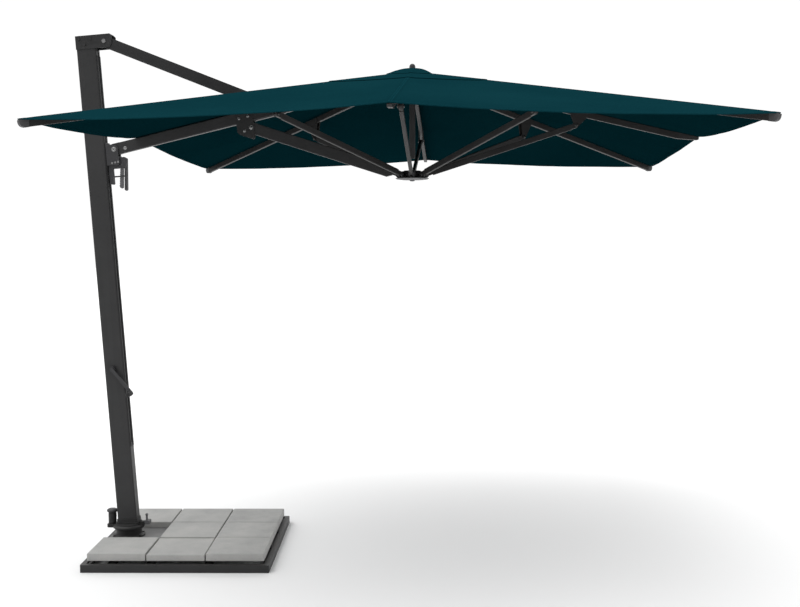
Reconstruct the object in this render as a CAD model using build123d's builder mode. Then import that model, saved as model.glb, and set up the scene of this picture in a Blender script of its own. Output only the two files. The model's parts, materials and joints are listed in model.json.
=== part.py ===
from build123d import *
from math import sin, cos, tan, atan, radians, degrees, hypot
import os

# Cantilever parasol, 3 x 3 m square canopy, on a paver-ballasted base.
# Millimetres. Origin: swivel axis at floor level, +X from mast to canopy, +Z up.

# ---- driving dimensions: mechanism ----
canopy_half = 1500.0
crown_x = 1580.0
mast_lean = 4.12
mast_foot_z = 160.0
pivot_m = (-85.0, 2773.0)
slider_gap = 580.5
trigger_pivot = (33.0, -86.0)
arm_angle = 13.3
strut_reach = 918.0
hinge_r = 75.0
link_len = 832.0
open_angle = 17.8
mid_droop = 13.3
corner_droop = 10.8
pin_r = 4.0
bore_r = 4.08
heavy_pin_r = 6.0
heavy_bore_r = 6.08

# ---- driving dimensions: sections ----
mast_w = 108.0
mast_t = 64.0
mast_wall = 4.0
mast_len = 2600.0
slot_w = 16.0
arm_w = 34.0
arm_h = 62.0
arm_wall = 3.0
bar_t = 8.0
bar_h = 58.0
bar_gap = 46.0
rib_w = 20.0
rib_h = 32.0
mid_tail = 130.0
cap_len = 40.0
tube_r = 16.0
tube_drop = 402.0
strut_w = 18.0
strut_h = 30.0
tongue_w = 12.4
ear_slot = 13.6
heavy_w = 33.0
heavy_h = 60.0
cheek_t = 3.0
cloth_t = 1.6

# ---- driving dimensions: base, turned on its swivel by base_turn ----
base_turn = 3.86
frame_x0 = -128.0
frame_size = 970.0
rail_w = 25.0
rail_h = 40.0
bed_z = 54.0
cross_w = 40.0
paver = 300.0
paver_gap = 6.0
paver_t = 38.0
low_paver_t = 33.0
neck_r = 70.0
disc_r = 86.0
plate_top = 60.0
lock_x = -93.0
disc_z = 105.0

# ---- derived mechanism points ----
lean = radians(mast_lean)
up_x = -sin(lean)
up_z = cos(lean)
pivot_s = (pivot_m[0] - up_x * slider_gap, pivot_m[1] - up_z * slider_gap)
arm_a = radians(arm_angle)
crown_z = pivot_s[1] + (crown_x - hinge_r - pivot_s[0]) * tan(arm_a)
arm_len = (crown_x - hinge_r - pivot_s[0]) / cos(arm_a)
pivot_p = (pivot_s[0] + strut_reach * cos(arm_a), pivot_s[1] + strut_reach * sin(arm_a))
bar_len = hypot(pivot_p[0] - pivot_m[0], pivot_p[1] - pivot_m[1])
bar_angle = degrees(atan((pivot_p[1] - pivot_m[1]) / (pivot_p[0] - pivot_m[0])))
hub_z = crown_z - 2.0 * link_len * sin(radians(open_angle))
crown_c = Vector(crown_x, 0, crown_z)
hub_c = Vector(crown_x, 0, hub_z)
elbow_u = arm_len - link_len * cos(radians(open_angle - mid_droop))
elbow_v = -link_len * sin(radians(open_angle - mid_droop))


def side_plane(x, z, angle):
    """Side view plane through (x, 0, z): its x axis is tilted up by angle, its normal is -Y."""
    a = radians(angle)
    return Plane(origin=(x, 0, z), x_dir=(cos(a), 0, sin(a)), z_dir=(0, -1, 0))


def radial_plane(centre, azimuth, reach, droop):
    """Vertical plane at an azimuth: x runs outwards and down by droop, from a radius of reach."""
    p = radians(azimuth)
    d = radians(droop)
    start = centre + Vector(cos(p), sin(p), 0) * reach
    run = Vector(cos(p) * cos(d), sin(p) * cos(d), -sin(d))
    return Plane(origin=start, x_dir=run, z_dir=(sin(p), -cos(p), 0))


def cross_plane(side, u, v=0.0):
    """Plane across a side plane's x axis at distance u; its x axis is the side plane's normal."""
    return Plane(origin=side.from_local_coords((u, v, 0)), x_dir=side.z_dir, z_dir=side.x_dir)


turn = radians(base_turn)
ground = Plane(origin=(0, 0, 0), x_dir=(cos(turn), sin(turn), 0), z_dir=(0, 0, 1))
mast_plane = side_plane(0, mast_foot_z, mast_lean)
arm_plane = side_plane(pivot_s[0], pivot_s[1], arm_angle)
bar_plane = side_plane(pivot_m[0], pivot_m[1], bar_angle)
slide_plane = side_plane(pivot_s[0], pivot_s[1], mast_lean)
mast_up = Plane(origin=mast_plane.origin, x_dir=mast_plane.x_dir, z_dir=mast_plane.y_dir)
pivot_u = mast_plane.to_local_coords(Vector(pivot_m[0], 0, pivot_m[1])).X
pivot_v = mast_plane.to_local_coords(Vector(pivot_m[0], 0, pivot_m[1])).Y
face_u = mast_w / 2 - pivot_u

os.makedirs("parts", exist_ok=True)

# ================= base =================
inner = frame_size - 2 * rail_w
frame_cx = frame_x0 + frame_size / 2
pitch = paver + paver_gap
first_x = frame_cx - pitch

with BuildPart() as base_frame:
    with BuildSketch(ground):
        with Locations((frame_cx, 0)):
            RectangleRounded(frame_size, frame_size, 6)
            Rectangle(inner, inner, mode=Mode.SUBTRACT)
    extrude(amount=rail_h)
    with BuildSketch(ground.offset(12)):
        with Locations((frame_cx, -pitch / 2), (frame_cx, pitch / 2)):
            Rectangle(inner, cross_w)
    extrude(amount=bed_z - 12)
    with BuildSketch(ground):
        with Locations((0, 0), (frame_cx - pitch / 2, 0), (frame_cx + pitch / 2, 0)):
            Rectangle(cross_w, inner)
    extrude(amount=12)
    with BuildSketch(ground.offset(rail_h - 12)):
        with Locations((frame_cx, 0)):
            Rectangle(inner, inner)
            Rectangle(inner - 30, inner - 30, mode=Mode.SUBTRACT)
    extrude(amount=4)
base_frame.part.label = "base_frame"
export_step(base_frame.part, "parts/base_frame.step")

with BuildPart() as foot_plate:
    with BuildSketch(ground.offset(bed_z)):
        with Locations((first_x - 1, 0)):
            Rectangle(paver - 8, pitch - 4)
        with Locations((0, 0)):
            Circle(32, mode=Mode.SUBTRACT)
    extrude(amount=plate_top - bed_z)
foot_plate.part.label = "foot_plate"
export_step(foot_plate.part, "parts/foot_plate.step")

cells = [(i, j) for j in (-1, 0, 1) for i in (0, 1, 2) if not (i == 0 and j == 0)]
for number, (i, j) in enumerate(cells, start=1):
    with BuildPart() as slab:
        with BuildSketch(ground.offset(bed_z)):
            with Locations((first_x + i * pitch, j * pitch)):
                RectangleRounded(paver, paver, 3)
        extrude(amount=low_paver_t if (i, j) == (1, -1) else paver_t)
        chamfer(slab.faces().sort_by(Axis.Z)[-1].edges(), 3)
    slab.part.label = f"paver_{number}"
    export_step(slab.part, f"parts/paver_{number}.step")

with BuildPart() as swivel_base:
    with BuildSketch(Plane.XZ):
        with BuildLine():
            Polyline(
                (40.08, plate_top), (88, plate_top), (88, plate_top + 7), (neck_r + 4, plate_top + 9),
                (neck_r, plate_top + 14), (neck_r, disc_z - 1), (40.08, disc_z - 1), close=True)
        make_face()
    revolve(axis=Axis.Z)
    with BuildSketch(ground.offset(plate_top + 4)):
        with PolarLocations(80, 6, start_angle=30):
            RegularPolygon(6.5, 6)
    extrude(amount=8)
swivel_base.part.label = "swivel_base"
export_step(swivel_base.part, "parts/swivel_base.step")

# ================= turning mast =================
with BuildPart() as swivel_disc:
    with BuildSketch(Plane.XZ):
        with BuildLine():
            Polyline(
                (0, 62), (38, 62), (40, 66), (40, disc_z), (disc_r - 6, disc_z), (disc_r, disc_z + 5),
                (disc_r, disc_z + 14), (disc_r - 8, disc_z + 20), (72, disc_z + 20),
                (70, disc_z + 26), (0, disc_z + 26), close=True)
        make_face()
    revolve(axis=Axis.Z)
    with BuildSketch(Plane.XY.offset(disc_z + 2)):
        with Locations((lock_x + 4, 0)):
            RectangleRounded(58, 52, 12)
    extrude(amount=18)
    with BuildSketch(Plane.XY.offset(disc_z + 2)):
        with Locations((lock_x, 0)):
            Circle(6.06)
    extrude(amount=18, mode=Mode.SUBTRACT)
    with BuildSketch(Plane.XY.offset(disc_z + 12)):
        with Locations((76, 12), (76, -12)):
            Rectangle(26, 6)
    extrude(amount=24)
    with BuildSketch(Plane.XZ):
        with Locations((80, disc_z + 29)):
            Circle(3)
    extrude(amount=15, both=True)
swivel_disc.part.label = "swivel_disc"
export_step(swivel_disc.part, "parts/swivel_disc.step")

with BuildPart() as lock_sleeve:
    with BuildSketch(Plane.XZ):
        with BuildLine():
            Polyline(
                (6.06, disc_z + 20), (20, disc_z + 20), (22, disc_z + 28), (22, disc_z + 80), (19, disc_z + 84),
                (6.06, disc_z + 84), close=True)
        make_face()
    revolve(axis=Axis.Z)
lock_sleeve.part = lock_sleeve.part.moved(Location((lock_x, 0, 0)))
lock_sleeve.part.label = "lock_sleeve"
export_step(lock_sleeve.part, "parts/lock_sleeve.step")

with BuildPart() as lock_pin:
    with BuildSketch(Plane.XZ):
        with BuildLine():
            Polyline(
                (0, disc_z + 1), (4, disc_z + 1), (6, disc_z + 5), (6, disc_z + 85), (26, disc_z + 86),
                (30, disc_z + 90), (30, disc_z + 96), (22, disc_z + 103), (0, disc_z + 106), close=True)
        make_face()
    revolve(axis=Axis.Z)
lock_pin.part = lock_pin.part.moved(Location((lock_x, 0, 0)))
lock_pin.part.label = "lock_pin"
export_step(lock_pin.part, "parts/lock_pin.step")

with BuildPart() as brake_lever:
    with BuildSketch(Plane.XZ):
        with BuildLine():
            Spline((72, disc_z + 34), (88, disc_z + 39), (108, disc_z + 34), (120, disc_z + 22))
            Line((120, disc_z + 22), (115, disc_z + 20))
            Spline((115, disc_z + 20), (104, disc_z + 28), (88, disc_z + 24), (73, disc_z + 23))
            Line((73, disc_z + 23), (72, disc_z + 34))
        make_face()
        with Locations((80, disc_z + 29)):
            Circle(3.06, mode=Mode.SUBTRACT)
    extrude(amount=8.5, both=True)
    with BuildSketch(Plane.XY.offset(disc_z + 21)):
        with Locations((108, 0)):
            RectangleRounded(28, 40, 6)
    extrude(amount=22)
    with BuildSketch(Plane.XY.offset(disc_z + 40)):
        with Locations((102, 0)):
            Circle(5.5)
    extrude(amount=30)
    with Locations((102, 0, disc_z + 72)):
        Sphere(8)
brake_lever.part.label = "brake_lever"
export_step(brake_lever.part, "parts/brake_lever.step")

with BuildPart() as mast_foot:
    with BuildSketch(Plane.XY.offset(disc_z + 26)):
        RectangleRounded(126, 84, 12)
    extrude(amount=10)
    with BuildSketch(mast_up):
        RectangleRounded(mast_w - 2 * mast_wall - 0.6, mast_t - 2 * mast_wall - 0.6, 4)
    extrude(amount=70)
    with BuildSketch(mast_up):
        RectangleRounded(mast_w + 8, mast_t + 8, 8)
    extrude(amount=-24)
mast_foot.part.label = "mast_foot"
export_step(mast_foot.part, "parts/mast_foot.step")

with BuildPart() as mast_tube:
    with BuildSketch(mast_up):
        RectangleRounded(mast_w, mast_t, 8)
        RectangleRounded(mast_w - 2 * mast_wall, mast_t - 2 * mast_wall, 4.2, mode=Mode.SUBTRACT)
    extrude(amount=mast_len)
    with BuildSketch(mast_up.offset(420)):
        with Locations((mast_w / 2, 0)):
            Rectangle(24, slot_w)
    extrude(amount=mast_len - 420, mode=Mode.SUBTRACT)
    with BuildSketch(mast_plane):
        with Locations((-4, 836)):
            Circle(8.06)
    extrude(amount=mast_t, mode=Mode.SUBTRACT)
mast_tube.part.label = "mast_tube"
export_step(mast_tube.part, "parts/mast_tube.step")

with BuildPart() as top_bracket:
    with BuildSketch(mast_plane):
        with BuildLine():
            Polyline(
                (-mast_w / 2, pivot_v - 34), (pivot_u + 28, pivot_v - 34), (pivot_u + 42, pivot_v - 16),
                (pivot_u + 44, pivot_v + 26), (pivot_u + 34, pivot_v + 38),
                (-mast_w / 2, pivot_v + 38), close=True)
        make_face()
    extrude(amount=mast_t / 2 + 4, both=True)
    with BuildSketch(mast_plane):
        with Locations((pivot_u, pivot_v - 34)):
            Rectangle(2 * (pivot_u - mast_w / 2) + 200, 134)
    extrude(amount=mast_t / 2, both=True, mode=Mode.SUBTRACT)
    with BuildSketch(mast_up.offset(pivot_v - 90)):
        RectangleRounded(mast_w, mast_t, 8)
    extrude(amount=mast_len - pivot_v + 90, mode=Mode.SUBTRACT)
    with BuildSketch(mast_plane):
        with Locations((pivot_u, pivot_v)):
            Circle(8.06)
    extrude(amount=60, both=True, mode=Mode.SUBTRACT)
    with BuildSketch(mast_plane.offset(mast_t / 2 + 4)):
        with Locations((-4, pivot_v - 12), (30, pivot_v + 18), (-34, pivot_v + 18)):
            RegularPolygon(7, 6)
    extrude(amount=4)
    with BuildSketch(mast_plane.offset(-mast_t / 2 - 8)):
        with Locations((-4, pivot_v - 12), (30, pivot_v + 18), (-34, pivot_v + 18)):
            RegularPolygon(7, 6)
    extrude(amount=4)
top_bracket.part.label = "top_bracket"
export_step(top_bracket.part, "parts/top_bracket.step")

# ================= crank =================
with BuildPart() as crank_arm:
    with BuildSketch(mast_plane.offset(10)):
        with Locations((-4, 836)):
            Circle(8)
    extrude(amount=44)
    with BuildSketch(mast_plane.offset(mast_t / 2 + 0.6)):
        with Locations((-4, 836)):
            Circle(16)
    extrude(amount=16)
    with BuildSketch(Plane(
            origin=mast_plane.from_local_coords((-4, 836, 52)),
            x_dir=(cos(radians(-50)), 0, sin(radians(-50))), z_dir=(0, -1, 0))):
        with Locations((84.5, 0)):
            SlotOverall(169 + 18, 18)
    extrude(amount=6)
crank_arm.part.label = "crank_arm"
export_step(crank_arm.part, "parts/crank_arm.step")

crank_end = Plane(
    origin=mast_plane.from_local_coords((-4, 836, 58)) + Vector(cos(radians(50)), 0, -sin(radians(50))) * 169,
    x_dir=(1, 0, 0), z_dir=(0, -1, 0))
with BuildPart() as crank_grip:
    with BuildSketch(Plane(origin=crank_end.origin, x_dir=(1, 0, 0), z_dir=(0, 0, 1))):
        with BuildLine():
            Polyline((0, 0), (9, 0), (12, -6), (13.5, -34), (12, -66), (8, -74), (0, -76), close=True)
        make_face()
    revolve(axis=Axis(crank_end.origin, (0, 1, 0)))
crank_grip.part.label = "crank_grip"
export_step(crank_grip.part, "parts/crank_grip.step")

# ================= slider =================
with BuildPart() as slider_carriage:
    with BuildSketch(slide_plane):
        with BuildLine():
            Polyline(
                (face_u + 4, -86), (24, -86), (24, -38), (face_u + 12, -36), (face_u + 12, 38),
                (face_u + 4, 38), close=True)
        make_face()
    extrude(amount=26, both=True)
    for side in (-1, 1):
        with BuildSketch(slide_plane.offset(side * 21.8)):
            with BuildLine():
                Polyline((face_u + 11, -38), (20, -38), (24, 0), (0, 24), (face_u + 11, 30), close=True)
            make_face()
            Circle(24)
        extrude(amount=4.2, both=True)
    with BuildSketch(slide_plane):
        Circle(heavy_pin_r)
    extrude(amount=30, both=True)
    with BuildSketch(slide_plane.offset(26)):
        with Locations((-14, -74), (4, -72), (20, -70)):
            RegularPolygon(4.5, 6)
    extrude(amount=3)
slider_carriage.part.label = "slider_carriage"
export_step(slider_carriage.part, "parts/slider_carriage.step")

with BuildPart() as slider_foot:
    with BuildSketch(slide_plane):
        with Locations(((face_u - 12 + face_u - 4.6) / 2, -25)):
            Rectangle(7.4, 112)
    extrude(amount=20, both=True)
    with BuildSketch(slide_plane):
        with Locations(((face_u - 6 + face_u + 4) / 2, -25)):
            Rectangle(10, 112)
    extrude(amount=7, both=True)
slider_foot.part.label = "slider_foot"
export_step(slider_foot.part, "parts/slider_foot.step")

with BuildPart() as slider_handle:
    with BuildSketch(slide_plane):
        Polygon(
            (-41.5, -86.5), (24.5, -86.5), (24.5, -46), (48, -44), (62, -54), (50, -222), (44, -228),
            (37, -222), (46, -104), (-20, -104), (-20, -186), (-26, -190), (-41.5, -186), align=None)
    extrude(amount=13, both=True)
    with BuildSketch(slide_plane):
        Polygon((20, -106), (46.5, -106), (46.5, -72), (20, -72), align=None)
    extrude(amount=7.6, both=True, mode=Mode.SUBTRACT)
    for side in (-1, 1):
        with BuildSketch(slide_plane.offset(side * 10.6)):
            Polygon((-24, -150), (46, -150), (46, -144), (-24, -144), align=None)
        extrude(amount=2, both=True)
    with BuildSketch(slide_plane):
        with Locations(trigger_pivot):
            Circle(3.06)
    extrude(amount=20, both=True, mode=Mode.SUBTRACT)
slider_handle.part.label = "slider_handle"
export_step(slider_handle.part, "parts/slider_handle.step")

teeth = []
for i in range(8):
    tooth_v = -192 + 12 * i
    tooth_u = 24 + (tooth_v + 92) * 0.114
    teeth += [(tooth_u - 3.5, tooth_v - 7), (tooth_u - 3.5, tooth_v - 3), (tooth_u, tooth_v)]
with BuildPart() as trigger:
    with BuildSketch(slide_plane):
        Polygon((39, -86), (28, -210), (20, -214), (11, -208), *teeth, (24, -94), (27, -84), align=None)
        with Locations(trigger_pivot):
            Circle(7.5)
    extrude(amount=7, both=True)
    with BuildSketch(slide_plane):
        with Locations(trigger_pivot):
            Circle(3)
    extrude(amount=12.4, both=True)
trigger.part.label = "trigger"
export_step(trigger.part, "parts/trigger.step")

# ================= arm =================
with BuildPart() as arm_tube:
    with BuildSketch(cross_plane(arm_plane, 36)):
        RectangleRounded(arm_w, arm_h, 6)
        RectangleRounded(arm_w - 2 * arm_wall, arm_h - 2 * arm_wall, 3.2, mode=Mode.SUBTRACT)
    extrude(amount=arm_len - 36 - 34)
    with BuildSketch(arm_plane):
        Circle(arm_h / 2)
        with Locations((29, 0)):
            Rectangle(58, arm_h - 2 * arm_wall)
        with Locations((18, 0)):
            Rectangle(36, arm_h)
        Circle(heavy_bore_r, mode=Mode.SUBTRACT)
    extrude(amount=arm_w / 2 - arm_wall, both=True)
    with BuildSketch(arm_plane):
        Circle(arm_h / 2)
        with Locations((18, 0)):
            Rectangle(36, arm_h)
        Circle(heavy_bore_r, mode=Mode.SUBTRACT)
    extrude(amount=arm_w / 2, both=True)
arm_tube.part.label = "arm_tube"
export_step(arm_tube.part, "parts/arm_tube.step")

with BuildPart() as arm_nose:
    with BuildSketch(arm_plane):
        Polygon(
            (arm_len - 60, -27), (arm_len - 33.6, -27), (arm_len - 20, -10.5), (arm_len, -10.5),
            (arm_len, 10.5), (arm_len - 20, 10.5), (arm_len - 33.6, 27), (arm_len - 60, 27), align=None)
        with Locations((arm_len, 0)):
            Circle(10.5)
            Circle(bore_r, mode=Mode.SUBTRACT)
    extrude(amount=tongue_w / 2, both=True)
    with BuildSketch(cross_plane(arm_plane, arm_len - 110)):
        RectangleRounded(arm_w - 2 * arm_wall - 0.4, arm_h - 2 * arm_wall - 0.4, 3.2)
    extrude(amount=76)
arm_nose.part.label = "arm_nose"
export_step(arm_nose.part, "parts/arm_nose.step")

with BuildPart() as strut_clevis:
    with BuildSketch(cross_plane(arm_plane, strut_reach - 132)):
        RectangleRounded(40, arm_h + 6, 8)
        RectangleRounded(arm_w, arm_h, 6, mode=Mode.SUBTRACT)
    extrude(amount=174)
    with BuildSketch(arm_plane.offset(19)):
        with Locations((strut_reach, 0)):
            Circle(24)
        with Locations((strut_reach - 120, -6), (strut_reach - 62, -6)):
            RegularPolygon(5, 6)
    extrude(amount=3)
    with BuildSketch(arm_plane.offset(-22)):
        with Locations((strut_reach, 0)):
            Circle(24)
        with Locations((strut_reach - 120, -6), (strut_reach - 62, -6)):
            RegularPolygon(5, 6)
    extrude(amount=3)
strut_clevis.part.label = "strut_clevis"
export_step(strut_clevis.part, "parts/strut_clevis.step")

with BuildPart() as elbow_gusset:
    for side in (-1, 1):
        with BuildSketch(arm_plane.offset(side * (arm_w / 2 + cheek_t / 2))):
            Polygon(
                (elbow_u - 68, 29), (elbow_u + 13, 29), (elbow_u + 19, 4), (elbow_u + 21, -24),
                (elbow_u + 18, elbow_v), (elbow_u + 12, elbow_v - 28), (elbow_u + 2, elbow_v - 54),
                (elbow_u - 9, elbow_v - 60), (elbow_u - 72, elbow_v - 20), (elbow_u - 79, elbow_v - 8), align=None)
        extrude(amount=cheek_t / 2, both=True)
    with BuildSketch(arm_plane):
        with Locations((elbow_u, elbow_v)):
            Circle(heavy_pin_r)
    extrude(amount=arm_w / 2 + cheek_t + 2, both=True)
    for side in (-1, 1):
        with BuildSketch(arm_plane.offset(side * (arm_w / 2 + cheek_t + 1))):
            with Locations((elbow_u - 54, -4), (elbow_u - 4, -2), (elbow_u - 40, elbow_v - 10)):
                RegularPolygon(6.5, 6)
            with Locations((elbow_u, elbow_v)):
                Circle(10)
        extrude(amount=1, both=True)
elbow_gusset.part.label = "elbow_gusset"
export_step(elbow_gusset.part, "parts/elbow_gusset.step")

# ================= upper strut: twin bars =================
for name, side in (("near", 1), ("far", -1)):
    with BuildPart() as bar:
        with BuildSketch(bar_plane.offset(side * (bar_gap / 2 + bar_t / 2))):
            with Locations((bar_len / 2, 0)):
                SlotCenterToCenter(bar_len, bar_h)
            Circle(8.0, mode=Mode.SUBTRACT)
        extrude(amount=bar_t / 2, both=True)
        with BuildSketch(bar_plane.offset(side * (bar_gap / 2 + bar_t + 1.5))):
            with Locations((bar_len, 0)):
                Circle(13)
        extrude(amount=1.5, both=True)
    bar.part.label = f"strut_bar_{name}"
    export_step(bar.part, f"parts/strut_bar_{name}.step")

with BuildPart() as strut_pin:
    with BuildSketch(bar_plane):
        Circle(8.0)
    extrude(amount=mast_t / 2 + 8, both=True)
    with BuildSketch(bar_plane):
        Circle(14)
    extrude(amount=bar_gap / 2, both=True)
    for side in (-1, 1):
        with BuildSketch(bar_plane.offset(side * (mast_t / 2 + 6.5))):
            RegularPolygon(12, 6)
        extrude(amount=2, both=True)
strut_pin.part.label = "strut_pin"
export_step(strut_pin.part, "parts/strut_pin.step")

# ================= crown and hub =================
azimuths = [0, 45, 90, 135, 180, 225, 270, 315]
with BuildPart() as crown:
    with Locations(crown_c):
        Cylinder(46, 44)
    for azimuth in azimuths:
        ray = radial_plane(crown_c, azimuth, 0, 0)
        with BuildSketch(ray):
            Polygon((30, -18), (80, -15), (88, -8), (88, 8), (80, 15), (30, 18), align=None)
        extrude(amount=13, both=True)
    for azimuth in azimuths:
        ray = radial_plane(crown_c, azimuth, 0, 0)
        with BuildSketch(ray):
            Polygon((56, -30), (100, -30), (100, 30), (56, 30), align=None)
        extrude(amount=ear_slot / 2, both=True, mode=Mode.SUBTRACT)
    for azimuth in azimuths:
        ray = radial_plane(crown_c, azimuth, hinge_r, 0)
        with BuildSketch(ray):
            Circle(pin_r)
        extrude(amount=12, both=True)
crown.part.label = "crown"
export_step(crown.part, "parts/crown.step")

with BuildPart() as finial:
    with BuildSketch(Plane.XZ):
        Polygon(
            (0, crown_z + 22), (26, crown_z + 22), (26, crown_z + 47), (20, crown_z + 50), (17, crown_z + 53),
            (15.5, crown_z + 66), (12, crown_z + 73), (6, crown_z + 77), (0, crown_z + 78), align=None)
    revolve(axis=Axis.Z)
finial.part = finial.part.moved(Location((crown_x, 0, 0)))
finial.part.label = "finial"
export_step(finial.part, "parts/finial.step")

with BuildPart() as crown_tube:
    with BuildSketch(Plane.XZ):
        Polygon(
            (tube_r - 3, crown_z - 22), (26, crown_z - 22), (26, crown_z - 30), (tube_r, crown_z - 38),
            (tube_r, crown_z - 22 - tube_drop), (tube_r - 3, crown_z - 22 - tube_drop), align=None)
    revolve(axis=Axis.Z)
crown_tube.part = crown_tube.part.moved(Location((crown_x, 0, 0)))
crown_tube.part.label = "crown_tube"
export_step(crown_tube.part, "parts/crown_tube.step")

with BuildPart() as hub:
    with Locations(hub_c):
        Cylinder(46, 40)
    for azimuth in azimuths:
        ray = radial_plane(hub_c, azimuth, 0, 0)
        with BuildSketch(ray):
            Polygon((30, -20), (82, -16), (89, -8), (89, 8), (80, 14), (30, 16), align=None)
        extrude(amount=13, both=True)
    for azimuth in azimuths:
        ray = radial_plane(hub_c, azimuth, 0, 0)
        with BuildSketch(ray):
            Polygon((56, -30), (100, -30), (100, 30), (56, 30), align=None)
        extrude(amount=ear_slot / 2, both=True, mode=Mode.SUBTRACT)
    for azimuth in azimuths:
        ray = radial_plane(hub_c, azimuth, hinge_r, 0)
        with BuildSketch(ray):
            Circle(pin_r)
        extrude(amount=12, both=True)
hub.part.label = "hub"
export_step(hub.part, "parts/hub.step")

with BuildPart() as hub_cap:
    with BuildSketch(Plane.XZ):
        Polygon(
            (0, hub_z - 20), (88, hub_z - 20), (90, hub_z - 22), (84, hub_z - 25), (60, hub_z - 28),
            (14, hub_z - 30), (12, hub_z - 35), (0, hub_z - 37), align=None)
    revolve(axis=Axis.Z)
hub_cap.part = hub_cap.part.moved(Location((crown_x, 0, 0)))
hub_cap.part.label = "hub_cap"
export_step(hub_cap.part, "parts/hub_cap.step")

# ================= ribs, struts and cloth =================
compass = {0: "e", 45: "ne", 90: "n", 135: "nw", 180: "w", 225: "sw", 270: "s", 315: "se"}


def rib_droop(azimuth):
    return mid_droop if azimuth % 90 == 0 else corner_droop


def rib_tip(azimuth):
    flat = canopy_half - hinge_r if azimuth % 90 == 0 else canopy_half * 2 ** 0.5 - hinge_r
    return flat / cos(radians(rib_droop(azimuth)))


for azimuth in azimuths:
    if azimuth == 180:
        continue
    tag = compass[azimuth]
    droop = rib_droop(azimuth)
    length = rib_tip(azimuth)
    is_mid = azimuth % 90 == 0
    tail = mid_tail if is_mid else cap_len
    rib_plane = radial_plane(crown_c, azimuth, hinge_r, droop)
    joint_u = link_len * cos(radians(open_angle - droop))
    joint_v = -link_len * sin(radians(open_angle - droop))
    with BuildPart() as rib:
        with BuildSketch(cross_plane(rib_plane, 34)):
            RectangleRounded(rib_w, rib_h, 3)
            RectangleRounded(rib_w - 3.6, rib_h - 3.6, 1.4, mode=Mode.SUBTRACT)
        extrude(amount=length - 34 - tail)
        if is_mid:
            with BuildSketch(rib_plane):
                Polygon(
                    (length - tail, -rib_h / 2), (length - tail + 20, -rib_h / 2), (length - 8, -1),
                    (length, 3), (length, 13), (length - 3, rib_h / 2), (length - tail, rib_h / 2), align=None)
            extrude(amount=rib_w / 2, both=True)
        else:
            with BuildSketch(rib_plane):
                Polygon(
                    (length - cap_len, -rib_h / 2 - 1), (length - 20, -rib_h / 2 - 1), (length - 12, -14),
                    (length - 6, -10), (length - 2, -4), (length, 4), (length, 14), (length - 3, rib_h / 2 + 1),
                    (length - cap_len, rib_h / 2 + 1), align=None)
            extrude(amount=rib_w / 2 + 1, both=True)
        with BuildSketch(rib_plane):
            Circle(10.5)
            with Locations((40, 0)):
                Rectangle(80, 21)
            Circle(bore_r, mode=Mode.SUBTRACT)
        extrude(amount=tongue_w / 2, both=True)
        with BuildSketch(rib_plane):
            with Locations((57, 0)):
                Rectangle(46, rib_h - 3.6)
        extrude(amount=rib_w / 2 - 1.8, both=True)
        for side in (-1, 1):
            with BuildSketch(rib_plane.offset(side * (rib_w / 2 + cheek_t / 2))):
                Polygon(
                    (joint_u - 46, 10), (joint_u + 46, 10), (joint_u + 46, -12), (joint_u + 13, joint_v),
                    (joint_u + 8, joint_v - 11), (joint_u - 8, joint_v - 11), (joint_u - 13, joint_v),
                    (joint_u - 46, -12), align=None)
            extrude(amount=cheek_t / 2, both=True)
        with BuildSketch(rib_plane):
            with Locations((joint_u, joint_v)):
                Circle(pin_r)
        extrude(amount=rib_w / 2 + cheek_t + 3, both=True)
    rib.part.label = f"rib_{tag}"
    export_step(rib.part, f"parts/rib_{tag}.step")

for azimuth in azimuths:
    tag = compass[azimuth]
    heavy = azimuth == 180
    width = heavy_w if heavy else strut_w
    height = heavy_h if heavy else strut_h
    bore = heavy_bore_r if heavy else bore_r
    wall = 3 if heavy else 1.8
    strut_plane = radial_plane(hub_c, azimuth, hinge_r, -open_angle)
    begin = 58 if heavy else 34
    end_h = height if heavy else 24
    with BuildPart() as strut:
        with BuildSketch(cross_plane(strut_plane, begin)):
            RectangleRounded(width, height, 4)
            RectangleRounded(width - 2 * wall, height - 2 * wall, 2, mode=Mode.SUBTRACT)
        extrude(amount=link_len - begin - 30)
        for start, span in ((begin, 30), (link_len - 60, 30)):
            with BuildSketch(cross_plane(strut_plane, start)):
                Rectangle(width - 2 * wall, height - 2 * wall)
            extrude(amount=span)
        if heavy:
            with BuildSketch(strut_plane):
                Polygon((30, -13), (begin, -height / 2), (begin, height / 2), (30, 13), align=None)
            extrude(amount=width / 2, both=True)
        with BuildSketch(strut_plane):
            Circle(10.5)
            with Locations((begin / 2, 0)):
                Rectangle(begin, 21)
            Circle(bore_r, mode=Mode.SUBTRACT)
        extrude(amount=tongue_w / 2, both=True)
        with BuildSketch(strut_plane):
            with Locations((link_len, 0)):
                Circle(end_h / 2)
            with Locations((link_len - 15, 0)):
                Rectangle(30, end_h)
            with Locations((link_len, 0)):
                Circle(bore, mode=Mode.SUBTRACT)
        extrude(amount=width / 2, both=True)
    strut.part.label = "heavy_strut" if heavy else f"strut_{tag}"
    export_step(strut.part, f"parts/{strut.part.label}.step")

cloth_top = {}
for azimuth in azimuths:
    lift = arm_h / 2 + 6 if azimuth == 180 else rib_h / 2 + 6
    ray = radial_plane(crown_c, azimuth, hinge_r, rib_droop(azimuth))
    cloth_top[azimuth] = (ray.from_local_coords((24, lift, 0)), ray.from_local_coords((rib_tip(azimuth), lift, 0)))

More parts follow.
